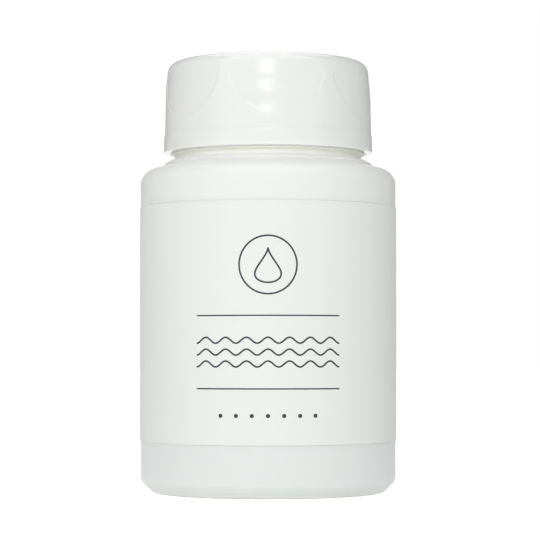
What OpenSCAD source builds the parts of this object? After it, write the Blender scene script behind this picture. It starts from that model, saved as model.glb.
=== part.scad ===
// Dip jar with a screw cap and a foam insert, in millimetres.
// Origin: centre of the jar's base, on the surface that it stands on. +Z is up, -Y is the front.

/* [Jar body] */
// Outer diameter of the body
body_d = 49.9; // [46:0.1:70]
// Height of the body, up to the crease where the shoulder meets the plinth
body_h = 63.7; // [50:0.1:90]
// Thickness of the body's wall
wall = 1.3; // [0.8:0.05:1.8]
// Thickness of the floor
floor_t = 1.6; // [1:0.1:3]
// Fall of the shoulder from the plinth outwards, in degrees
shoulder_slope = 15.6; // [8:0.1:22]
// Width of the soft cut between shoulder and side
shoulder_cut_w = 0.95; // [0.5:0.05:1.8]
// Height of the soft cut between shoulder and side
shoulder_cut_h = 1.95; // [1:0.05:3]

/* [Foot] */
// Size of the slanted corner round the foot
foot_cut = 2.4; // [1.5:0.1:3]
// Diameter of the recess under the foot
recess_d = 36; // [20:0.5:38]
// Depth of the recess under the foot
recess_h = 1.2; // [0.4:0.1:3]

/* [Plinth and neck] */
// How far the low raised ring on the shoulder stands out past the cap's rim
plinth_proud = 0.05; // [0:0.05:0.6]
// Height of the raised ring
plinth_h = 1.3; // [0.8:0.05:2]
// Inward lean of the raised ring's side
plinth_lean = 1.25; // [0.4:0.05:1.3]
// Gap between the raised ring and the cap's rim, in which the neck shows
rim_gap = 1.3; // [1:0.05:2.5]
// Thickness of the neck's wall between the threads
neck_wall = 1.6; // [1.2:0.05:3]
// How far the neck's foot, seen in the gap, stands out from the neck
neck_foot_step = 0.75; // [0.3:0.05:0.9]
// Height of the bead's middle above the plinth
bead_z = 1.3; // [1.1:0.05:1.4]
// Thickness of the bead round the neck
bead_t = 1.3; // [0.9:0.05:1.4]

/* [Thread] */
// Height of the thread's ridge over the neck
thread_h = 1.2; // [0.9:0.05:1.4]
// Rise of the thread in one turn
pitch = 4.233; // [4:0.001:4.4]
// Turns of the thread on the neck
neck_turns = 1.75; // [1:0.25:1.75]
// Turns of the thread in the cap
cap_turns = 1.5; // [1:0.25:1.5]
// Distance from the mouth down to the middle of the neck thread's top end
thread_drop = 3.5; // [3:0.1:3.6]
// Radial gap between each thread's crest and the wall that it faces
thread_gap = 0.35; // [0.2:0.05:0.4]
// Gap between the flanks that pull the cap down
flank_gap = 0.15; // [0.1:0.05:0.3]

/* [Cap] */
// Height of the cap
cap_h = 17.8; // [16:0.1:22]
// Outer diameter of the cap's band, at the rim
cap_d = 40.8; // [37:0.1:44]
// Thickness of the cap's wall at the band, between the threads
cap_wall = 1.45; // [1.2:0.05:2]
// Height of the band round the rim
band_h = 3.0; // [1.5:0.1:4]
// Step from the band to the side
band_step = 0.18; // [0.05:0.01:0.3]
// Inward lean of the side from the band up to the brow
cap_draft = 0.19; // [0:0.01:0.25]
// Inward lean of the brow, the part just below the top's rounding
brow_lean = 0.39; // [0.1:0.01:0.5]
// Height of the brow
brow_h = 3.4; // [2:0.1:4]
// Height of the rounding between brow and top
crown_h = 1.5; // [1:0.1:1.7]
// Radius of the rounding between brow and top
crown_r = 2.2; // [1.8:0.1:2.6]
// Thickness of the cap's top
cap_top_t = 1.25; // [1:0.05:2]

/* [Thumb panels] */
// Number of shallow panels round the cap
panels = 6; // [4:1:8]
// Depth of a panel at the brow
panel_depth = 0.2; // [0.1:0.01:0.3]
// Depth of a panel at its rounded foot
panel_foot_depth = 0.12; // [0.05:0.01:0.3]
// Height of a panel, from its rounded foot up to the top's rounding
panel_h = 10.5; // [7:0.1:12]
// Height of the smooth ring left between the panels and the top's rounding
panel_fade = 1.2; // [0.6:0.1:2]
// Strip left between two panels at their widest, in degrees
panel_strip = 1; // [0.5:0.1:6]
// Turn of the front panel away from the front, in degrees
panel_turn = 5.3; // [-30:0.1:30]

/* [Liner] */
// Thickness of the sealing disc
liner_t = 1.0; // [0.6:0.1:2]
// Radial gap between the disc and the cap
liner_gap = 0.2; // [0.1:0.05:0.3]
// Gap left above and below the disc, so that it is not drawn squeezed
seal_gap = 0.05; // [0.02:0.01:0.1]
// How far the snap bead reaches in under the disc's edge
snap_reach = 0.15; // [0.05:0.01:0.2]

/* [Label] */
// Bare height of the body between the label's upper edge and the shoulder's corner
label_top_gap = 5.16; // [2:0.01:20]
// Height of the label's lower edge above the base
label_z = 10.1; // [5:0.1:12]
// Thickness of the label film
label_t = 0.15; // [0.05:0.01:0.3]
// Layer of glue under the label
glue_t = 0.02; // [0.01:0.01:0.05]
// Width of the overlap at the back
lap_w = 6; // [3:0.5:12]

/* [Sponge] */
// Gap between the foam and the jar's wall and floor
sponge_gap = 0.3; // [0.2:0.05:0.6]
// Gap between the foam's top and the shoulder's corner above it
sponge_drop = 1.5; // [0.5:0.1:8]
// Diameter of the finger hole at its bottom
hole_d = 12.5; // [10:0.5:18]
// Diameter of the finger hole at its mouth
hole_top_d = 15.5; // [12:0.5:22]
// Depth of the finger hole
hole_h = 42; // [25:0.5:44]
// Rounding of the foam's outer edges
sponge_edge_r = 2.5; // [1:0.1:4]
// Rounding of the hole's mouth
hole_edge_r = 2; // [0.5:0.1:3]

/* [Hidden] */
$fn = 96;

// steps of one rounded corner, and of one turn of a thread
corner_steps = 6;
turn_steps = 36;

// heights that follow from the sizes above
body_r = body_d / 2;
plinth_z = body_h + plinth_h;
rim_z = plinth_z + rim_gap;
cap_top_z = rim_z + cap_h;
inner_top_z = cap_top_z - cap_top_t;
mouth_z = inner_top_z - liner_t - 2 * seal_gap;
brow_top_z = cap_top_z - crown_h;
brow_z = brow_top_z - brow_h;

// radii from the cap's band inwards: the cap's bore, the thread in it, the neck and its mouth
band_r = cap_d / 2;
cap_bore_r = band_r - cap_wall;
thread_r = cap_bore_r - thread_gap;
neck_r = thread_r - thread_h;
neck_foot_r = neck_r + neck_foot_step;
mouth_r = neck_r - neck_wall;
plinth_r = band_r + plinth_proud;

// the shoulder's two corners
cut_r = body_r - shoulder_cut_w;
cut_z = body_h - (cut_r - plinth_r) * tan(shoulder_slope);
side_top_z = cut_z - shoulder_cut_h;
shoulder_side_r = 1.7;
shoulder_top_r = 3.2;

// the jar's inside
inner_r = body_r - wall;
inner_floor_z = recess_h + floor_t;
inner_corner_z = side_top_z - wall / 4;
foot_blend_r = 2.6;
foot_side_r = 2;

// the threads: half widths at the foot and at the crest of each ridge
ridge_foot = 1.15;
ridge_crest = 0.55;
cap_crest_r = neck_r + thread_gap;
ridge_slope = (ridge_foot - ridge_crest) / thread_h;
neck_thread_z = mouth_z - thread_drop - neck_turns * pitch;
// the cap's ridge lies this far under the neck's ridge when closed
ridge_offset = ridge_foot + ridge_crest - ridge_slope * thread_gap + flank_gap;
// the cap's ridge starts this part of a turn before the neck's
lead_in = 0.2;

// the cap's outside, as height and radius
band_z = rim_z + band_h;
band_blend = 0.55;
side_r = band_r - band_step;
brow_r = side_r - cap_draft;
brow_top_r = brow_r - brow_lean;
side_line = [[rim_z, side_r], [band_z + band_blend, side_r], [brow_z, brow_r], [brow_top_z, brow_top_r]];
// the rounding starts on the brow's top and ends flat on the cap's top
crown_tilt = acos((crown_r - crown_h) / crown_r);
crown_start = 90 - crown_tilt;
crown_x = brow_top_r - crown_r * cos(crown_start);
crown_z = brow_top_z - crown_r * sin(crown_start);

// half the width of a panel, and the radius at which its cut starts
panel_half_w = brow_top_r * sin(180 / panels - panel_strip / 2);
panel_in_r = brow_top_r - 2;

// the disc's seat and its snap bead
seat_gap = 0.55;
seat_r = neck_r + seat_gap;
liner_r = seat_r - liner_gap;
snap_r = liner_r - snap_reach;
liner_z = mouth_z + seal_gap;
snap_t = 0.5;
// the bore narrows to the seat above the neck's thread
thread_clear = 0.4;
seat_z = mouth_z - thread_drop + ridge_foot + thread_clear;

// the foam
sponge_z = inner_floor_z + sponge_gap;
sponge_r = inner_r - sponge_gap;
sponge_top_z = inner_corner_z - sponge_drop;

// the label
label_h = side_top_z - label_top_gap - label_z;

// Corner of an outline, rounded: b is [x, y, radius], a and c are its neighbours
function corner(a, b, c) =
    let (p = [b[0], b[1]],
         u = ([a[0], a[1]] - p) / norm([a[0], a[1]] - p),
         v = ([c[0], c[1]] - p) / norm([c[0], c[1]] - p),
         half = acos(u * v) / 2,
         mid = (u + v) / norm(u + v),
         centre = p + mid * b[2] / sin(half),
         s = p + u * b[2] / tan(half) - centre,
         e = p + v * b[2] / tan(half) - centre,
         a0 = atan2(s[1], s[0]),
         turn = atan2(s[0] * e[1] - s[1] * e[0], s * e))
    [for (i = [0:corner_steps]) centre + b[2] * [cos(a0 + turn * i / corner_steps),
                                                 sin(a0 + turn * i / corner_steps)]];

// Outline through [x, y, radius] points, each corner rounded by its radius; 0 keeps it sharp
function rounded(pts) = [for (i = [0:len(pts) - 1])
    let (n = len(pts), b = pts[i])
    each b[2] == 0 ? [[b[0], b[1]]] : corner(pts[(i + n - 1) % n], b, pts[(i + 1) % n])];

// Ridge of a screw thread: a trapezium carried up a helix, sinking into the wall at both ends
module ridge(foot_r, crest_r, foot_half, crest_half, z0, a0, turns) {
    steps = ceil(turns * turn_steps);
    fade_steps = 3;
    inward = foot_r > crest_r ? 1 : -1;
    root_r = foot_r + inward * 0.3;
    hidden_r = foot_r + inward * 0.1;
    function fade(i) = min(1, min(i, steps - i) / fade_steps);
    function section(i) =
        let (a = a0 + 360 * turns * i / steps,
             z = z0 + pitch * turns * i / steps,
             r = hidden_r + (crest_r - hidden_r) * fade(i))
        [for (q = [[root_r, -foot_half], [r, -crest_half], [r, crest_half], [root_r, foot_half]])
            [q[0] * cos(a), q[0] * sin(a), z + q[1]]];
    corners = len(section(0));
    points = [for (i = [0:steps]) each section(i)];
    skin = [for (i = [0:steps - 1]) for (j = [0:corners - 1])
        let (p = i * corners + j, q = i * corners + (j + 1) % corners)
        each [[p, q, p + corners], [q, q + corners, p + corners]]];
    last = steps * corners;
    ends = [[0, 2, 1], [0, 3, 2], [last, last + 1, last + 2], [last, last + 2, last + 3]];
    faces = [for (f = concat(skin, ends)) inward > 0 ? [f[0], f[2], f[1]] : f];
    polyhedron(points = points, faces = faces, convexity = 8);
}

// Moulded jar: hollow body, shoulder, plinth and threaded neck
module jar() {
    bead_gap = 0.3;
    bead_r = cap_bore_r - bead_gap;
    bead_mid = plinth_z + bead_z;
    outline = rounded([
        [0, recess_h, 0],
        [recess_d / 2 - 1.2, recess_h, 0.8],
        [recess_d / 2, 0, 0.4],
        [body_r - foot_cut, 0, foot_blend_r],
        [body_r, foot_cut, foot_side_r],
        [body_r, side_top_z, shoulder_side_r],
        [cut_r, cut_z, shoulder_top_r],
        [plinth_r, body_h, 0.45],
        [plinth_r - plinth_lean, plinth_z, 0.6],
        [neck_foot_r, plinth_z, 0.15],
        [neck_foot_r, bead_mid - bead_t / 2, 0.1],
        [bead_r, bead_mid - bead_t / 4, 0.2],
        [bead_r, bead_mid + bead_t / 4, 0.2],
        [neck_r, bead_mid + bead_t * 0.7, 0.3],
        [neck_r, mouth_z - 0.8, 0.3],
        [neck_r - 0.4, mouth_z, 0.15],
        [mouth_r, mouth_z, 0.3],
        [mouth_r, body_h - 0.4, 1.2],
        [inner_r - 1.2, inner_corner_z + 1.2 * tan(shoulder_slope), 1.5],
        [inner_r, inner_corner_z - 1.2, 1],
        [inner_r, inner_floor_z, foot_cut],
        [0, inner_floor_z, 0]]);
    color([0.93, 0.94, 0.93]) {
        rotate_extrude() polygon(outline);
        ridge(neck_r, thread_r, ridge_foot, ridge_crest, neck_thread_z, 0, neck_turns);
    }
}

// Film label wrapped round the body, its ends overlapping at the back
module label() {
    label_in_r = body_r + glue_t;
    half_turn = 180;
    lap_a = lap_w / body_r * half_turn / PI;
    color([0.97, 0.97, 0.95])
    translate([0, 0, label_z]) {
        difference() {
            cylinder(r = label_in_r + label_t, h = label_h);
            translate([0, 0, -1]) cylinder(r = label_in_r, h = label_h + 2);
        }
        rotate(90 - lap_a / 2) rotate_extrude(angle = lap_a)
            translate([label_in_r + label_t / 2, 0]) square([label_t, label_h]);
    }
}

// Outside of the cap before the panels are cut
module cap_blank() {
    crown = [for (i = [0:corner_steps])
        let (a = crown_start + crown_tilt * i / corner_steps)
        [crown_x + crown_r * cos(a), crown_z + crown_r * sin(a)]];
    rotate_extrude() polygon(concat(
        rounded([
            [0, rim_z, 0],
            [band_r, rim_z, 0.25],
            [band_r, band_z, 0.3],
            [side_r, band_z + band_blend, 0.3],
            [brow_r, brow_z, 0]]),
        crown,
        [[0, cap_top_z]]));
}

// Ground of the panels: deepest at the brow, it comes out through the brow below the rounding
module panel_ground() {
    foot_z = brow_top_z - panel_h;
    clear = 1;
    foot_r = lookup(foot_z, side_line) - panel_foot_depth;
    lean = (foot_r - brow_r + panel_depth) / (brow_z - foot_z);
    proud = panel_depth * panel_fade / (brow_h - panel_fade);
    rotate_extrude() polygon([
        [0, foot_z - clear],
        [foot_r + lean * clear, foot_z - clear],
        [brow_r - panel_depth, brow_z],
        [brow_top_r + proud, brow_top_z],
        [brow_top_r + proud, brow_top_z + clear],
        [0, brow_top_z + clear]]);
}

// Outline of one panel: half an ellipse
module panel_outline() {
    half_steps = 24;
    clear = 0.5;
    polygon(concat(
        [for (i = [0:half_steps])
            let (a = 180 + 180 * i / half_steps) [panel_half_w * cos(a), panel_h * sin(a)]],
        [[panel_half_w, clear], [-panel_half_w, clear]]));
}

// Material taken off the cap's side by all its panels
module panel_cuts() {
    difference() {
        for (i = [0:panels - 1])
            rotate(panel_turn + i * 360 / panels)
                translate([0, -panel_in_r, brow_top_z]) rotate([90, 0, 0])
                    linear_extrude(band_r - panel_in_r + 2) panel_outline();
        panel_ground();
    }
}

// Room inside the cap for the neck, with a seat for the disc and a snap bead under it
module cap_cavity() {
    lead = 0.4;
    clear = 1;
    snap_top = liner_z - seal_gap;
    rotate_extrude() polygon([
        [0, rim_z - clear],
        [cap_bore_r + lead, rim_z - clear],
        [cap_bore_r + lead, rim_z],
        [cap_bore_r, rim_z + 1.5 * lead],
        [cap_bore_r, seat_z],
        [seat_r, seat_z + (cap_bore_r - seat_r) / 2],
        [seat_r, snap_top - snap_t - (seat_r - snap_r) / 2],
        [snap_r, snap_top - snap_t + (seat_r - snap_r) / 2],
        [snap_r, snap_top - (seat_r - snap_r) / 2],
        [seat_r, snap_top],
        [seat_r, inner_top_z],
        [0, inner_top_z]]);
}

// Screw cap with shallow rounded panels, closed on the neck
module cap() {
    color([0.95, 0.95, 0.95]) {
        difference() {
            cap_blank();
            panel_cuts();
            cap_cavity();
        }
        ridge(cap_bore_r, cap_crest_r, ridge_foot - 0.15, ridge_crest - 0.1,
              neck_thread_z - ridge_offset - lead_in * pitch, -360 * lead_in, cap_turns);
    }
}

// Foamed sealing disc pressed into the cap
module cap_liner() {
    color([0.9, 0.9, 0.88])
    translate([0, 0, liner_z]) cylinder(r = liner_r, h = liner_t);
}

// Foam insert with a tapered finger hole
module sponge() {
    color([0.93, 0.9, 0.78])
    rotate_extrude() polygon(rounded([
        [0, sponge_z, 0],
        [sponge_r, sponge_z, sponge_edge_r],
        [sponge_r, sponge_top_z, sponge_edge_r],
        [hole_top_d / 2, sponge_top_z, hole_edge_r],
        [hole_d / 2, sponge_top_z - hole_h, hole_edge_r],
        [0, sponge_top_z - hole_h, 0]]));
}

jar();
label();
cap();
cap_liner();
sponge();
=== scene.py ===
"""Looks of a sponge dip jar: a satin polyethylene jar, its film label, a gloss screw cap and the foam."""
import math

import bpy
import numpy as np
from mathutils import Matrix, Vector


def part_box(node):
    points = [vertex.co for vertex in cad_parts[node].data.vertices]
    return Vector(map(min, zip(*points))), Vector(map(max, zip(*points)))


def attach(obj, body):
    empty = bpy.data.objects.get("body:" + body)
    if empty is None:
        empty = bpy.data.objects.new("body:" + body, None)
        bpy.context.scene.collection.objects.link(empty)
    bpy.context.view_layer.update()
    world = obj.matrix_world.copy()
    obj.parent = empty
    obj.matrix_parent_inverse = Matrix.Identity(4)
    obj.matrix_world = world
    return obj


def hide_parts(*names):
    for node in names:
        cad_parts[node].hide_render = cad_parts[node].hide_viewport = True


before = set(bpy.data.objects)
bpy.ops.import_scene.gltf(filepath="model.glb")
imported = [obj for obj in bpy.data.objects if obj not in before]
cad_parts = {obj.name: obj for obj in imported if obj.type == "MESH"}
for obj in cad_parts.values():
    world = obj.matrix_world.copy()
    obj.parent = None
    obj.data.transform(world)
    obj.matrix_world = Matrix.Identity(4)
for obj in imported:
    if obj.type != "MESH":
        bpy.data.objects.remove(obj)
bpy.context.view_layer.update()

# Sizes, in millimetres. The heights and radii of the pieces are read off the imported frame. Radii that
# differ by less than SAME_R count as one, and TINY keeps a division from zero.
MM = 0.001
SAME_R = 0.02
TINY = 1e-6


def extent(node):
    """Lowest height, highest height and half width of a CAD node, in millimetres."""
    low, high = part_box(node)
    return low.z / MM, high.z / MM, (high.x - low.x) / 2 / MM


_, mouth_z, body_r = extent("jar")
label_low, label_high, _ = extent("label")
rim_z, cap_top_z, band_r = extent("cap")
liner_low, liner_high, liner_r = extent("cap_liner")
sponge_low, sponge_top, sponge_r = extent("sponge")

# Jar: the body up to the shoulder's inner edge
neck_and_plinth_h = 18.05
body_h = mouth_z - neck_and_plinth_h
wall = 1.3
floor_top = 2.8
recess_h = 1.2
recess_r = 18.0
foot_cut = 2.4
shoulder_slope = math.radians(15.6)
shoulder_cut_w = 0.95
shoulder_cut_h = 1.95

# Jar: the plinth, the neck and its bead
plinth_h = 1.3
plinth_r = 20.45
plinth_top = body_h + plinth_h
neck_foot_r = 18.15
neck_r = 17.4
mouth_r = 15.8
bead_r = 18.65
bead_t = 1.3

# Label
glue = 0.02
film = 0.12
film_r = body_r + glue + film

# Threads: the neck's ridge ends thread_end below the mouth. The cap's ridge lies ridge_offset under it
# and starts lead_in of a turn before it, and each crest keeps thread_play to the other's wall.
pitch = 4.233
thread_r = 18.6
thread_end = 3.5
neck_turns = 1.75
cap_turns = 1.5
ridge_foot = 1.15
ridge_crest = 0.55
neck_thread_z = mouth_z - thread_end - neck_turns * pitch
thread_play = 0.35
cap_bore_r = thread_r + thread_play
cap_crest_r = neck_r + thread_play
ridge_offset = 1.675
lead_in = 0.2

# Cap, outside: a band round the rim, a side and a brow that lean in, and a rounded crown
band_h = 3.0
band_blend = 0.6
band_step = 0.18
side_lean = 0.19
brow_h = 3.1
brow_lean = 0.39
crown_h = 1.5
crown_r = 2.2
band_top = rim_z + band_h
side_r = band_r - band_step
brow_r = side_r - side_lean
brow_top_r = brow_r - brow_lean
brow_top_z = cap_top_z - crown_h
brow_z = brow_top_z - brow_h

# Cap, inside: the seat over the thread, with the disc and the bead that holds it
seat_play = 0.55
seat_gap = 0.4
seat_r = neck_r + seat_play
seat_z = mouth_z - thread_end + ridge_foot + seat_gap
snap_grip = 0.15
snap_t = 0.5
snap_r = liner_r - snap_grip
disc_play = 0.05

# Panels of the cap: half ellipses that hang from the brow's top. The depths belong to the heights over
# the foot, then to the brow's top and to the cap's top.
panels = 6
panel_turn = math.radians(5.3)
panel_half_angle = math.radians(29.5)
panel_w = brow_top_r * math.sin(panel_half_angle)
panel_h = 10.5
panel_foot_z = brow_top_z - panel_h
panel_heights = (0.0, 2.0, 4.2, 7.2)
panel_depths = (0.04, 0.085, 0.09, 0.148, 0.18, 0.0)
panel_border = 0.25
panel_flank = 3.2
panel_fade = 5.0
panel_crowd = 0.42


def smooth(t):
    """Soft step: 0 up to t = 0, 1 from t = 1, with level ends."""
    t = np.clip(t, 0, 1)
    return t * t * (3 - 2 * t)


# Outlines


def corner(before, tip, after, steps):
    """Arc of radius tip[2] that touches the lines from the tip to the point before and the one after."""
    radius = tip[2]
    tip = np.array(tip[:2], float)
    back, ahead = np.array(before[:2], float) - tip, np.array(after[:2], float) - tip
    back, ahead = back / np.hypot(*back), ahead / np.hypot(*ahead)
    half = math.acos(float(np.clip(back @ ahead, -1, 1))) / 2
    centre = tip + (back + ahead) / np.hypot(*(back + ahead)) * radius / math.sin(half)
    first = tip + back * radius / math.tan(half) - centre
    last = tip + ahead * radius / math.tan(half) - centre
    start = math.atan2(first[1], first[0])
    turn = math.atan2(first[0] * last[1] - first[1] * last[0], first @ last)
    angles = start + turn * np.linspace(0, 1, steps + 1)
    return centre + radius * np.stack([np.cos(angles), np.sin(angles)], 1)


def rounded(points, steps=8):
    """Outline through (radius, height, rounding) points; a rounding of 0 keeps the corner sharp."""
    parts = []
    for i, point in enumerate(points):
        if point[2]:
            parts.append(corner(points[i - 1], point, points[(i + 1) % len(points)], steps))
        else:
            parts.append(np.array([point[:2]], float))
    return np.concatenate(parts)


def divided(outline, longest):
    """The outline with points added, so that no stretch is longer than longest(radius, height)."""
    parts = []
    for start, end in zip(outline[:-1], outline[1:]):
        count = max(1, math.ceil(math.hypot(*(end - start)) / longest(*(start + end) / 2)))
        parts.append(start + (end - start) * (np.arange(count) / count)[:, None])
    return np.concatenate(parts + [outline[-1:]])


# Meshes


def mesh_object(name, points, quads, tris=None):
    """Object from arrays: points in millimetres, quads and tris as rows of point numbers."""
    tris = np.zeros((0, 3), int) if tris is None else tris
    mesh = bpy.data.meshes.new(name)
    mesh.vertices.add(len(points))
    mesh.vertices.foreach_set("co", (np.asarray(points, float) * MM).astype(np.float32).ravel())
    loops = np.concatenate([quads.ravel(), tris.ravel()])
    sizes = np.concatenate([np.full(len(quads), 4), np.full(len(tris), 3)])
    mesh.loops.add(len(loops))
    mesh.loops.foreach_set("vertex_index", loops.astype(np.int32))
    mesh.polygons.add(len(sizes))
    starts = np.concatenate([[0], np.cumsum(sizes)[:-1]])
    mesh.polygons.foreach_set("loop_start", starts.astype(np.int32))
    mesh.polygons.foreach_set("loop_total", sizes.astype(np.int32))
    mesh.polygons.foreach_set("use_smooth", np.ones(len(sizes), bool))
    mesh.update(calc_edges=True)
    mesh.validate()
    piece = bpy.data.objects.new(name, mesh)
    bpy.context.scene.collection.objects.link(piece)
    return piece


def around(columns):
    """Even angles of the columns of a turned surface."""
    return np.arange(columns) * math.tau / columns


def grid(outline, angles):
    """Radius and height of each point of the outline at each angle: a row a point, a column an angle."""
    return np.repeat(outline[:, :1], len(angles), 1), np.repeat(outline[:, 1:], len(angles), 1)


def turned(name, radius, height, angles):
    """Closed surface of rings: radius[row, column] and height[row, column] turned by angles[column].
    The outline runs anticlockwise, with the solid on its left; the first and the last row are poles."""
    rows, columns = radius.shape
    x, y = radius * np.cos(angles), radius * np.sin(angles)
    rings = np.stack([x, y, height], -1)[1:-1].reshape(-1, 3)
    poles = np.array([[0, 0, height[0, 0]], [0, 0, height[-1, 0]]])
    here = np.arange((rows - 2) * columns).reshape(rows - 2, columns)
    side = np.roll(here, -1, axis=1)
    quads = np.stack([here[:-1], side[:-1], side[1:], here[1:]], -1).reshape(-1, 4)
    first, last = len(rings), len(rings) + 1
    low = np.stack([np.full(columns, first), side[0], here[0]], 1)
    high = np.stack([np.full(columns, last), here[-1], side[-1]], 1)
    return mesh_object(name, np.concatenate([rings, poles]), quads, np.concatenate([low, high]))


def ridge(angles, heights, low, start, turns):
    """Share of a thread's height at each place: a trapezium on a helix that rises by one pitch a turn
    from height low at angle start, sinking away over a twelfth of a turn at both ends."""
    runouts_a_turn = 12
    share = np.zeros(np.broadcast(angles, heights).shape)
    first = ((angles - start) / math.tau) % 1.0
    for turn in range(math.ceil(turns)):
        along = first + turn
        off = np.abs(heights - low - pitch * along)
        rise = smooth((ridge_foot - off) / (ridge_foot - ridge_crest))
        ends = smooth(runouts_a_turn * np.minimum(along, turns - along))
        share = np.maximum(share, rise * ends)
    return share


def make_jar():
    """Jar: its outline turned round the axis, with the neck's thread as a helical ridge on the grid.
    The outline goes from the recess under the foot up the outside and down the inside to the floor."""
    plinth_draft = 0.1
    plinth_side_h = 0.45
    plinth_cut = 1.25
    plinth_dip = 0.2
    mouth_cut_w = 0.4
    mouth_cut_h = 0.8
    bore_end = 0.4
    inner_cut = 1.2
    bead_foot = bead_t * 0.7
    thread_step = 0.2
    plain_step = 2.5
    cut_r = body_r - shoulder_cut_w
    cut_z = body_h - (cut_r - plinth_r) * math.tan(shoulder_slope)
    side_top = cut_z - shoulder_cut_h
    inner_r = body_r - wall
    inner_corner = side_top - wall / 4
    bead_z = plinth_top + bead_t
    outline = rounded([
        (0, recess_h, 0),
        (recess_r - recess_h, recess_h, 0.8),
        (recess_r, 0, 0.4),
        (body_r - foot_cut, 0, 2.6),
        (body_r, foot_cut, 2.0),
        (body_r, side_top, 1.7),
        (cut_r, cut_z, 3.2),
        (plinth_r, body_h, 0.4),
        (plinth_r - plinth_draft, body_h + plinth_side_h, 0.7),
        (plinth_r - plinth_cut, plinth_top - plinth_dip, 0.5),
        (neck_foot_r, plinth_top - plinth_dip, 0.15),
        (neck_foot_r, bead_z - bead_t / 2, 0.1),
        (bead_r, bead_z - bead_t / 4, 0.2),
        (bead_r, bead_z + bead_t / 4, 0.2),
        (neck_r, bead_z + bead_foot, 0.3),
        (neck_r, mouth_z - mouth_cut_h, 0.3),
        (neck_r - mouth_cut_w, mouth_z, 0.15),
        (mouth_r, mouth_z, 0.3),
        (mouth_r, body_h - bore_end, 1.2),
        (inner_r - inner_cut, inner_corner + inner_cut * math.tan(shoulder_slope), 1.5),
        (inner_r, inner_corner - inner_cut, 1.0),
        (inner_r, floor_top, foot_cut),
        (0, floor_top, 0)])

    def on_neck(r, z):
        """True on the neck's straight outside, which carries the thread."""
        return (np.abs(r - neck_r) < SAME_R) & (z > bead_z)

    outline = divided(outline, lambda r, z: thread_step if on_neck(r, z) else plain_step)
    angles = around(columns=256)
    radius, height = grid(outline, angles)
    share = ridge(angles, height, neck_thread_z, 0.0, neck_turns)
    radius = radius + on_neck(radius, height) * share * (thread_r - neck_r)
    return turned("jar_body", radius, height, angles)


def panel_columns(columns):
    """Angles of the cap's columns, closer together along the upright stretches of the panels' borders:
    even angles plus a sine wave with one period for each panel."""
    even = around(columns)
    return even + panel_crowd / panels * np.sin(panels * (even + math.pi / 2 - panel_turn))


def panel_sink(angles, heights, radii):
    """How far the cap's outside is sunk by its panels. Inside each half ellipse the side leans in by
    stretches: a soft foot, an upright stretch, a leaning one and the brow. The border is a soft step
    over the distance inside the ellipse, which is one less the share of its radius, divided by that
    share's slope. The step's width follows the depth, and it widens over the brow and so fades out."""
    pitch_angle = math.tau / panels
    off = (angles + math.pi / 2 - panel_turn + pitch_angle / 2) % pitch_angle - pitch_angle / 2
    x = radii * np.sin(off) / panel_w
    z = np.clip((brow_top_z - heights) / panel_h, 0, None)
    share = np.sqrt(x * x + z * z)
    slope = np.sqrt((x / panel_w) ** 2 + (z / panel_h) ** 2) / np.maximum(share, TINY)
    inside = (1 - share) / np.maximum(slope, TINY)
    stops = [panel_foot_z + rise for rise in panel_heights] + [brow_top_z, cap_top_z]
    depth = np.interp(heights, stops, panel_depths)
    width = np.maximum(panel_border, panel_flank * depth)
    width = width + panel_fade * smooth((heights - brow_z) / (brow_top_z - brow_z))
    return depth * smooth(inside / width)


def crown_arc():
    """Arc from the brow's top to the flat top. Its first two points lie close together, and so do the
    brow's last two, which keeps the edge between them crisp under smooth shading."""
    close, next_on, steps = 0.015, 0.08, 12
    tilt = math.acos((crown_r - crown_h) / crown_r)
    start = math.pi / 2 - tilt
    centre_r = brow_top_r - crown_r * math.cos(start)
    centre_z = brow_top_z - crown_r * math.sin(start)
    angles = start + tilt * np.concatenate([[0.0, close], np.linspace(next_on, 1, steps)])
    return np.stack([centre_r + crown_r * np.cos(angles), centre_z + crown_r * np.sin(angles)], 1)


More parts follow.
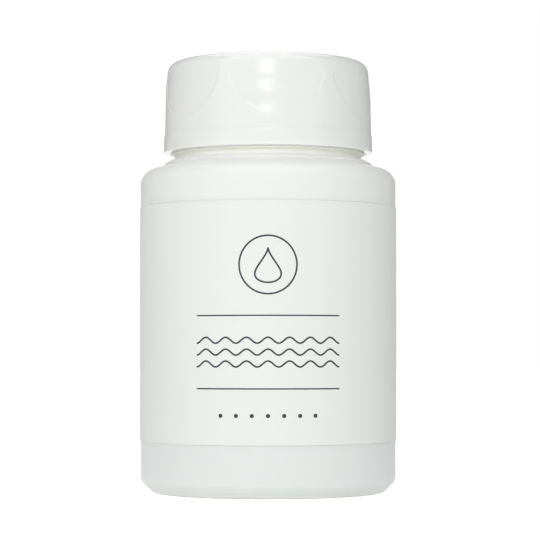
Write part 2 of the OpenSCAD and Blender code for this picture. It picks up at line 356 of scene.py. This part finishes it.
def make_cap():
    """Cap: its outline turned round the axis, the outside sunk by the panels, the bore with its thread.
    The outline goes from the top of the disc's seat down the inside and up the outside to the top."""
    inner_top = liner_high + disc_play
    snap_top = liner_low - disc_play
    snap_slant = (seat_r - snap_r) / 2
    flare_w = 0.4
    flare_h = 0.6
    crease = 0.04
    crease_w = crease * (brow_r - brow_top_r) / (brow_top_z - brow_z)
    thread_step = 0.4
    feet_step = 0.15
    side_step = 0.4
    plain_step = 2.0
    feet_low = panel_foot_z - 0.3
    feet_high = panel_foot_z + 4.5
    inside_r = cap_bore_r + 0.5
    inside_and_side = rounded([
        (0, inner_top, 0),
        (seat_r, inner_top, 0.15),
        (seat_r, snap_top, 0.05),
        (snap_r, snap_top - snap_slant, 0.05),
        (snap_r, snap_top - snap_t + snap_slant, 0.05),
        (seat_r, snap_top - snap_t - snap_slant, 0.1),
        (seat_r, seat_z + (cap_bore_r - seat_r) / 2, 0.2),
        (cap_bore_r, seat_z, 0.2),
        (cap_bore_r, rim_z + flare_h, 0.2),
        (cap_bore_r + flare_w, rim_z, 0.12),
        (band_r, rim_z, 0.25),
        (band_r, band_top, 2.1),
        (side_r, band_top + band_blend, 2.1),
        (brow_r, brow_z, 20.0),
        (brow_top_r + crease_w, brow_top_z - crease, 0),
        (brow_top_r, brow_top_z, 0)], steps=4)
    outline = np.concatenate([inside_and_side[:-1], crown_arc(), [[0, cap_top_z]]])

    def longest(r, z):
        """Longest stretch: short on the thread and the side, shortest about the feet of the panels."""
        if abs(r - cap_bore_r) < SAME_R:
            return thread_step
        if r < inside_r or z < feet_low:
            return plain_step
        return feet_step if z < feet_high else side_step

    outline = divided(outline, longest)
    angles = panel_columns(columns=516)
    radius, height = grid(outline, angles)
    outer = np.arange(len(outline)) > int(np.argmax(outline[:, 0] > band_r - SAME_R))
    bore = (np.abs(outline[:, 0] - cap_bore_r) < SAME_R) & ~outer
    low = neck_thread_z - ridge_offset - lead_in * pitch
    share = ridge(angles, height, low, -math.tau * lead_in, cap_turns)
    radius = radius - bore[:, None] * share * (cap_bore_r - cap_crest_r)
    below_top = outline[:, 1] < cap_top_z - TINY
    radius = radius - (outer & below_top)[:, None] * panel_sink(angles, height, radius)
    return turned("screw_cap", radius, height, angles)


def make_liner():
    """Sealing disc: a flat disc with slightly rounded edges."""
    edge = 0.12
    step = 1.0
    outline = rounded([
        (0, liner_low, 0), (liner_r, liner_low, edge),
        (liner_r, liner_high, edge), (0, liner_high, 0)])
    outline = divided(outline, lambda r, z: step)
    angles = around(columns=128)
    return turned("sealing_disc", *grid(outline, angles), angles)


def make_sponge():
    """Foam insert: an outline turned round the axis and roughened, each point moved inwards at right
    angles to the outline by the size of a sum of sine waves with directions from a seeded generator."""
    hole_depth = 42.0
    hole_low = sponge_top - hole_depth
    hole_top_r = 7.75
    hole_low_r = 6.25
    edge = 2.5
    hole_edge = 2.0
    step = 0.45
    outline = rounded([
        (0, sponge_low, 0), (sponge_r, sponge_low, edge), (sponge_r, sponge_top, edge),
        (hole_top_r, sponge_top, hole_edge), (hole_low_r, hole_low, hole_edge), (0, hole_low, 0)])
    outline = divided(outline, lambda r, z: step)
    angles = around(columns=256)
    radius, height = grid(outline, angles)
    x, y = radius * np.cos(angles), radius * np.sin(angles)
    seed = 7
    waves = 14
    radians_a_mm = (0.9, 2.4)
    widest_shift = 6.3
    depth = 0.35
    plain_r = 1.0
    draw = np.random.default_rng(seed)
    rough = np.zeros_like(radius)
    for _ in range(waves):
        wave = draw.normal(size=3)
        wave *= draw.uniform(*radians_a_mm) / np.linalg.norm(wave)
        shift = draw.uniform(0, widest_shift)
        rough += np.sin(x * wave[0] + y * wave[1] + height * wave[2] + shift) / waves
    rough *= depth
    along = np.gradient(outline, axis=0)
    along /= np.maximum(np.hypot(along[:, 0], along[:, 1]), TINY)[:, None]
    off_axis = (outline[:, 0] > plain_r)[:, None]
    radius = radius - off_axis * np.abs(rough) * along[:, 1:]
    height = height + off_axis * np.abs(rough) * along[:, :1]
    return turned("foam_insert", radius, height, angles)


def make_label():
    """Label: a sleeve of film with a second layer over a short arc at the back, its edges rounded.
    The section is a thin upright loop, and it is carried once round the jar."""
    lap_half_w = 3.0
    lap_t = film * 0.8
    lap_step = 0.004
    edge_h = 0.5
    columns = 360
    angles = around(columns)
    back = np.abs((angles - math.pi / 2 + math.pi) % math.tau - math.pi)
    extra = lap_t * (1 - smooth((back - lap_half_w / body_r) / lap_step + 0.5))
    # Each row at an edge: its distance from the edge, and its share of the thickness
    edge_rise = np.array([0.0, 0.0, 0.03, 0.06, 0.12])
    edge_out = np.array([0.0, 0.7, 1.0, 1.0, 1.0])
    middle = np.linspace(label_low + edge_h, label_high - edge_h, 20)
    heights = np.concatenate([label_low + edge_rise, middle, label_high - edge_rise[::-1]])
    outward = np.concatenate([edge_out, np.ones_like(middle), edge_out[::-1]])
    radius = body_r + glue + outward[:, None] * (film + extra[None, :])
    z = np.repeat(heights[:, None], columns, 1)
    rings = np.stack([radius * np.cos(angles), radius * np.sin(angles), z], -1)
    here = np.arange(len(rings) * columns).reshape(len(rings), columns)
    below, side = np.roll(here, -1, axis=0), np.roll(here, -1, axis=1)
    quads = np.stack([here, side, np.roll(below, -1, axis=1), below], -1).reshape(-1, 4)
    return mesh_object("label_sleeve", rings.reshape(-1, 3), quads)


# Print on the label: thin ribbons that lie on the film. Places are (across, height) in millimetres.


def ribbon(path, width, closed):
    """Points and faces of a ribbon along a path. Each section has a left and a right edge, at right
    angles to the path, and each edge a lower corner in the film and an upper one just above it."""
    sunk, raised = -0.03, 0.015
    if closed:
        along = np.roll(path, -1, axis=0) - np.roll(path, 1, axis=0)
    else:
        along = np.gradient(path, axis=0)
    along /= np.hypot(along[:, 0], along[:, 1])[:, None]
    across = np.stack([-along[:, 1], along[:, 0]], 1) * width / 2
    corners = []
    for edge, rise in ((path + across, sunk), (path - across, sunk),
                       (path - across, raised), (path + across, raised)):
        turn = edge[:, 0] / (film_r + raised)
        r = film_r + rise
        corners.append(np.stack([r * np.sin(turn), -r * np.cos(turn), edge[:, 1]], 1))
    points = np.stack(corners, 1)
    here = np.arange(len(path) * 4).reshape(-1, 4)
    first, last = here[:1], here[-1:]
    ahead = np.roll(here, -1, axis=0)
    if not closed:
        here, ahead = here[:-1], ahead[:-1]
    quads = np.stack([here, ahead, np.roll(ahead, -1, axis=1), np.roll(here, -1, axis=1)], -1)
    quads = quads.reshape(-1, 4)
    if not closed:
        quads = np.concatenate([quads, first, last[:, ::-1]])
    return points.reshape(-1, 3), quads


def ring_path(across, height, radius, steps=96):
    """Circle on the label."""
    turn = np.linspace(0, math.tau, steps, endpoint=False)
    return np.stack([across + radius * np.cos(turn), height + radius * np.sin(turn)], 1)


def drop_path(height, size, steps=96):
    """Drop on the label: a circle that is drawn in towards its top by a power of the height in it, and
    pulled up there by the height's cube."""
    pinch = 1.6
    breadth = 1.25
    pull = 0.55
    turn = np.linspace(0, math.tau, steps, endpoint=False)
    lift = (1 + np.sin(turn)) / 2
    half = size * np.cos(turn) * (1 - lift ** pinch)
    return np.stack([half * breadth, height + size * (np.sin(turn) + pull * lift ** 3)], 1)


def wave_path(width, height, rise=0.0, length=1.0, steps=240):
    """Wavy line across the label; with no rise it is a level rule."""
    across = np.linspace(-width / 2, width / 2, steps)
    return np.stack([across, height + rise * np.cos(math.tau * across / length)], 1)


def make_print():
    """Generic line drawing: a drop in a ring, two rules with waves between them, and a row of dots."""
    ink = 0.32
    fine_ink = ink * 0.8
    dot_ink = 0.38
    width = 28.0
    wave_heights = (29.6, 27.4, 25.2)
    dots = np.linspace(-9, 9, 7)
    strokes = [
        (ring_path(across=0, height=43.6, radius=5.4), ink, True),
        (drop_path(height=42.8, size=2.5), ink, True),
        (wave_path(width, height=34.2, steps=40), fine_ink, False)]
    for height in wave_heights:
        strokes.append((wave_path(width, height, rise=0.55, length=4.0), ink, False))
    strokes.append((wave_path(width, height=20.6, steps=40), fine_ink, False))
    for across in dots:
        strokes.append((ring_path(across, height=15.6, radius=0.2, steps=20), dot_ink, True))
    points, quads, count = [], [], 0
    for path, stroke_w, closed in strokes:
        ribbon_points, ribbon_quads = ribbon(path, stroke_w, closed)
        points.append(ribbon_points)
        quads.append(ribbon_quads + count)
        count += len(ribbon_points)
    return mesh_object("label_print", np.concatenate(points), np.concatenate(quads))


# Materials


def linear(code):
    """Linear colour of an sRGB hex value."""
    values = [int(code[i:i + 2], 16) / 255 for i in (1, 3, 5)]
    return [v / 12.92 if v <= 0.04045 else ((v + 0.055) / 1.055) ** 2.4 for v in values] + [1.0]


def add(tree, kind, settings=None, links=None):
    """Adds a shader node. Settings name a property or an input's value, links name an input's source."""
    node = tree.nodes.new(kind)
    for key, value in (settings or {}).items():
        if isinstance(key, str) and key in node.bl_rna.properties:
            setattr(node, key, value)
        else:
            node.inputs[key].default_value = value
    for key, source in (links or {}).items():
        tree.links.new(source, node.inputs[key])
    return node


def material(name):
    """Empty material with an output node; returns the material, its tree and the output."""
    made = bpy.data.materials.new(name)
    made.use_nodes = True
    made.node_tree.nodes.clear()
    return made, made.node_tree, add(made.node_tree, "ShaderNodeOutputMaterial")


def blend(tree, factor, low, high):
    """Colour output that runs from low to high with the factor; each is a hex value or an output.
    The mix node's colour sockets share their names with its number sockets, so they go by number."""
    low_socket, high_socket, result = 6, 7, 2
    mix = add(tree, "ShaderNodeMix", {"data_type": "RGBA"}, {"Factor": factor})
    for socket, colour in ((mix.inputs[low_socket], low), (mix.inputs[high_socket], high)):
        if isinstance(colour, str):
            socket.default_value = linear(colour)
        else:
            tree.links.new(colour, socket)
    return mix.outputs[result]


def level(tree, place, start, end):
    """0 below height start and 1 above height end, in millimetres, with a soft change between."""
    height = add(tree, "ShaderNodeSeparateXYZ", {}, {"Vector": place}).outputs["Z"]
    return add(tree, "ShaderNodeMapRange",
               {"interpolation_type": "SMOOTHSTEP", "From Min": start * MM, "From Max": end * MM},
               {"Value": height}).outputs["Result"]


def moulded_plastic(name, low, high, roughness, grain_mm, bump_mm, zones=(), milky=0.0):
    """Moulded plastic: a faint cloud of two near colours, a fine skin texture and an even gloss.
    Each zone is a start and an end height and a colour that takes over above them. Milky is the share
    of light that spreads inside the wall."""
    cloud_mm = 18
    spread_mm = 1.0
    made, tree, out = material(name)
    place = add(tree, "ShaderNodeTexCoord").outputs["Object"]
    cloud = add(tree, "ShaderNodeTexNoise", {"Scale": 1 / (cloud_mm * MM), "Detail": 2.0},
                {"Vector": place})
    tint = blend(tree, cloud.outputs["Fac"], low, high)
    for start, end, colour in zones:
        tint = blend(tree, level(tree, place, start, end), tint, colour)
    skin = add(tree, "ShaderNodeTexNoise", {"Scale": 1 / (grain_mm * MM), "Detail": 3.0},
               {"Vector": place})
    bump = add(tree, "ShaderNodeBump", {"Strength": 0.5, "Distance": bump_mm * MM},
               {"Height": skin.outputs["Fac"]})
    surface = add(tree, "ShaderNodeBsdfPrincipled",
                  {"Roughness": roughness, "IOR": 1.5, "Subsurface Weight": milky,
                   "Subsurface Radius": (1.0, 0.95, 0.85), "Subsurface Scale": spread_mm * MM},
                  {"Base Color": tint, "Normal": bump.outputs["Normal"]})
    tree.links.new(surface.outputs[0], out.inputs["Surface"])
    return made


def jar_hdpe():
    """White polyethylene with a waxy satin skin from the mould. The wall lets a little light through.
    Above the lowest edge of the foot the colour turns greyer, lightening between 20 and 50 mm, and
    the neck is creamier. From the shoulder up the lighter zones are painted light that lifts the shade
    under the cap's rim, and the darker neck's foot is painted shade. The zones go up the jar: foot,
    side, shoulder, the plinth's side and top, the neck's foot and bead, and the neck inside the cap."""
    zones = [
        (0.2, 0.9, "#dee2e0"),
        (20, 50, "#e6e8e5"),
        # Painted light from here up: the shoulder, the plinth and the bead are lighter to lift the shade
        # under the cap's rim, and the neck's foot is darker, painted shade.
        (body_h - 1.2, body_h - 0.5, "#fdfefc"),
        (body_h + 0.1, body_h + 0.5, "#fafbf7"),
        (plinth_top - 0.3, plinth_top - 0.1, "#f3f3ee"),
        (plinth_top + 0.4, plinth_top + 0.6, "#ebece3"),
        (plinth_top + 0.9, plinth_top + 1.1, "#fcfcf2"),
        (rim_z + 0.4, rim_z + 1.2, "#e6e7e0")]
    return moulded_plastic("blow_moulded_polyethylene", "#eae9e3", "#ecebe6",
                           roughness=0.42, grain_mm=0.5, bump_mm=0.006, zones=zones, milky=0.7)


def cap_pp():
    """White polypropylene from a polished injection mould: smooth, with clear narrow reflections."""
    return moulded_plastic("injection_moulded_polypropylene", "#e4e6e4", "#e6e7e5",
                           roughness=0.075, grain_mm=3.0, bump_mm=0.004, milky=0.5)


def label_film():
    """White polypropylene film: smooth and even, a touch warmer than the jar, with a dull sheen."""
    return moulded_plastic("polypropylene_label_film", "#e0e2df", "#e2e4e0",
                           roughness=0.6, grain_mm=1.2, bump_mm=0.003)


def liner_foam():
    """Foamed polyethylene disc: matt, with fine closed cells."""
    return moulded_plastic("foamed_polyethylene_sheet", "#e6e6e0", "#f0f0ea",
                           roughness=0.7, grain_mm=0.25, bump_mm=0.05)


def label_ink():
    """Dark blue-black printing ink, thin and dull, a little uneven over about half a millimetre."""
    blotch_mm = 0.4
    made, tree, out = material("blue_black_printing_ink")
    place = add(tree, "ShaderNodeTexCoord").outputs["Object"]
    spread = add(tree, "ShaderNodeTexNoise", {"Scale": 1 / (blotch_mm * MM), "Detail": 2.0},
                 {"Vector": place})
    tint = blend(tree, spread.outputs["Fac"], "#23242f", "#2c2d3a")
    surface = add(tree, "ShaderNodeBsdfPrincipled", {"Roughness": 0.5, "IOR": 1.5}, {"Base Color": tint})
    tree.links.new(surface.outputs[0], out.inputs["Surface"])
    return made


def sponge_foam():
    """Open-cell polyurethane foam: pale cream, with darker pores of under a millimetre, sunk by a bump."""
    cell_mm = 0.75
    pore_mm = 0.3
    made, tree, out = material("open_cell_polyurethane_foam")
    place = add(tree, "ShaderNodeTexCoord").outputs["Object"]
    cells = add(tree, "ShaderNodeTexVoronoi", {"Scale": 1 / (cell_mm * MM), "feature": "F1"},
                {"Vector": place})
    pores = add(tree, "ShaderNodeMapRange", {"From Min": 0.1, "From Max": 0.45},
                {"Value": cells.outputs["Distance"]})
    tint = blend(tree, pores.outputs["Result"], "#b8a878", "#efe6c6")
    bump = add(tree, "ShaderNodeBump", {"Strength": 0.8, "Distance": pore_mm * MM},
               {"Height": pores.outputs["Result"]})
    surface = add(tree, "ShaderNodeBsdfPrincipled", {"Roughness": 0.9, "IOR": 1.45},
                  {"Base Color": tint, "Normal": bump.outputs["Normal"]})
    tree.links.new(surface.outputs[0], out.inputs["Surface"])
    return made


# Assembly: piece, its maker, material, body, slot and the CAD node that it stands for
PIECES = [
    (make_jar, jar_hdpe, "jar", "jar_hdpe", "jar"),
    (make_label, label_film, "jar", "label_film", "label"),
    (make_print, label_ink, "jar", "label_film", None),
    (make_sponge, sponge_foam, "jar", "sponge_foam", "sponge"),
    (make_liner, liner_foam, "cap_lift", "liner_foam", "cap_liner"),
    (make_cap, cap_pp, "cap_turn", "cap_pp", "cap"),
]


def build_pieces():
    """Makes each piece, dresses it and joins it to its body."""
    for make, dress, body, slot, node in PIECES:
        piece = make()
        piece.data.materials.append(dress())
        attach(piece, body)
        if node:
            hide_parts(node)


# Studio


def make_camera():
    """Camera at the photograph's eye height and distance, level but for a slight upward pitch."""
    eye_height = 26.7
    distance = 428.4
    sideways = 0.37
    pitch_up = math.radians(1.12)
    data = bpy.data.cameras.new("camera")
    data.sensor_width = 36.0
    data.lens = 145.6
    data.shift_y = 0.08
    data.clip_start = 0.01
    camera = bpy.data.objects.new("camera", data)
    camera.location = (sideways * MM, -distance * MM, eye_height * MM)
    camera.rotation_euler = (math.pi / 2 + pitch_up, 0, 0)
    bpy.context.scene.collection.objects.link(camera)
    bpy.context.scene.camera = camera


# Name, azimuth, elevation, distance, width and height, radiance, height that it is aimed at, in
# degrees and metres. The softboxes and the low panel light the object, and the room's white stands for
# them in reflections. The strips and the overhead panel show in gloss, where they add to that white.
LAMPS = [
    ("front_softbox", 0, 18, 1.3, (1.4, 0.7), 1.5, 0.04),
    ("front_low_panel", 0, 5, 1.3, (1.7, 0.25), 3.1, 0.04),
    ("left_softbox", -84, 12, 1.3, (0.9, 0.9), 0.88, 0.04),
    ("top_softbox", 180, 70, 1.3, (1.2, 0.9), 0.45, 0.04),
    ("strip_high", -1.5, 21, 1.0, (0.14, 0.14), 1.9, 0.075),
    ("strip_low", -1.5, 12.1, 1.0, (0.14, 0.047), 1.7, 0.075),
    ("strip_high_flank", -1.5, 21, 1.02, (0.36, 0.14), 1.9, 0.075),
    ("strip_low_flank", -1.5, 12.1, 1.02, (0.36, 0.047), 1.9, 0.075),
    ("overhead_panel", 0, 90, 0.7, (1.6, 1.6), 1.7, 0.08),
]
MIRRORED = ("strip_high", "strip_low", "strip_high_flank", "strip_low_flank", "overhead_panel")
GLOSS_ONLY = ("overhead_panel",)

# Strengths of what glows by itself: the background where it is seen, the room's light, the cards in
# gloss, and the floor, which glows a little for all rays and more where it is seen.
BACKGROUND_LEVEL = 1.0
ROOM_LEVEL = 0.49
CARD_LEVEL = 0.35
FLOOR_GLOW = 0.11
FLOOR_SHOWN = 0.7


def make_lamp(name, azimuth, elevation, distance, size, radiance, aim):
    """Area lamp of a given radiance: azimuth 0 is in front, positive to the right, aimed at height aim."""
    data = bpy.data.lights.new(name, "AREA")
    data.shape = "RECTANGLE"
    data.size, data.size_y = size
    data.energy = radiance * math.pi * size[0] * size[1]
    lamp = bpy.data.objects.new(name, data)
    turn, tilt = math.radians(azimuth), math.radians(elevation)
    away = np.array([math.sin(turn) * math.cos(tilt), -math.cos(turn) * math.cos(tilt), math.sin(tilt)])
    lamp.location = away * distance + np.array([0, 0, aim])
    lamp.rotation_euler = (math.pi / 2 - tilt, 0, turn)
    lamp.visible_glossy = name in MIRRORED
    lamp.visible_diffuse = name not in GLOSS_ONLY
    bpy.context.scene.collection.objects.link(lamp)


def shown_to(tree):
    """1 for rays that show the background, from the camera or by way of gloss or a clear surface."""
    path = add(tree, "ShaderNodeLightPath")
    gloss = add(tree, "ShaderNodeMath", {"operation": "MAXIMUM"},
                {0: path.outputs["Is Camera Ray"], 1: path.outputs["Is Glossy Ray"]})
    return add(tree, "ShaderNodeMath", {"operation": "MAXIMUM"},
               {0: gloss.outputs[0], 1: path.outputs["Is Transmission Ray"]}).outputs[0]


def make_world():
    """Even pale light from all sides, and a white background for the rays that show it."""
    world = bpy.data.worlds.new("world")
    bpy.context.scene.world = world
    world.use_nodes = True
    tree = world.node_tree
    tree.nodes.clear()
    white = linear("#ffffff")
    room = add(tree, "ShaderNodeBackground", {"Color": white, "Strength": ROOM_LEVEL})
    seen = add(tree, "ShaderNodeBackground", {"Color": white, "Strength": BACKGROUND_LEVEL})
    mix = add(tree, "ShaderNodeMixShader", {}, {0: shown_to(tree), 1: room.outputs[0], 2: seen.outputs[0]})
    add(tree, "ShaderNodeOutputWorld", {}, {"Surface": mix.outputs[0]})


def make_floor():
    """Level white floor. It keeps the object's shadow, and its glow takes its light part to white."""
    reach = 3000.0
    points = np.array([[-reach, -reach, 0], [reach, -reach, 0], [reach, reach, 0], [-reach, reach, 0]])
    floor = mesh_object("floor", points, np.array([[0, 1, 2, 3]]))
    made, tree, out = material("matt_white_floor")
    matt = add(tree, "ShaderNodeBsdfDiffuse", {"Color": linear("#f2f2f2")})
    strength = add(tree, "ShaderNodeMath",
                   {"operation": "MULTIPLY_ADD", 1: FLOOR_SHOWN - FLOOR_GLOW, 2: FLOOR_GLOW},
                   {0: shown_to(tree)})
    glow = add(tree, "ShaderNodeEmission", {"Color": linear("#ffffff")},
               {"Strength": strength.outputs[0]})
    both = add(tree, "ShaderNodeAddShader", {}, {0: matt.outputs[0], 1: glow.outputs[0]})
    tree.links.new(both.outputs[0], out.inputs["Surface"])
    floor.data.materials.append(made)


def make_side_cards():
    """Two tall grey cards beside the view. Only gloss shows them: they keep the object's edges from
    mirroring the white background, as a photographer's cards do."""
    across, near, far, top = 350.0, -200.0, 2500.0, 2000.0
    card = ((near, 0), (far, 0), (far, top), (near, top))
    points = [(side * across, y, z) for side in (-1, 1) for y, z in card]
    cards = mesh_object("side_cards", points, np.arange(8).reshape(2, 4))
    made, tree, out = material("matt_grey_card")
    grey = add(tree, "ShaderNodeEmission", {"Color": linear("#ffffff"), "Strength": CARD_LEVEL})
    tree.links.new(grey.outputs[0], out.inputs["Surface"])
    cards.data.materials.append(made)
    cards.visible_camera = False
    cards.visible_diffuse = False
    cards.visible_transmission = False
    cards.visible_shadow = False


make_camera()
for lamp in LAMPS:
    make_lamp(*lamp)
make_world()
make_floor()
make_side_cards()
build_pieces()
bpy.context.scene.view_settings.view_transform = "Standard"
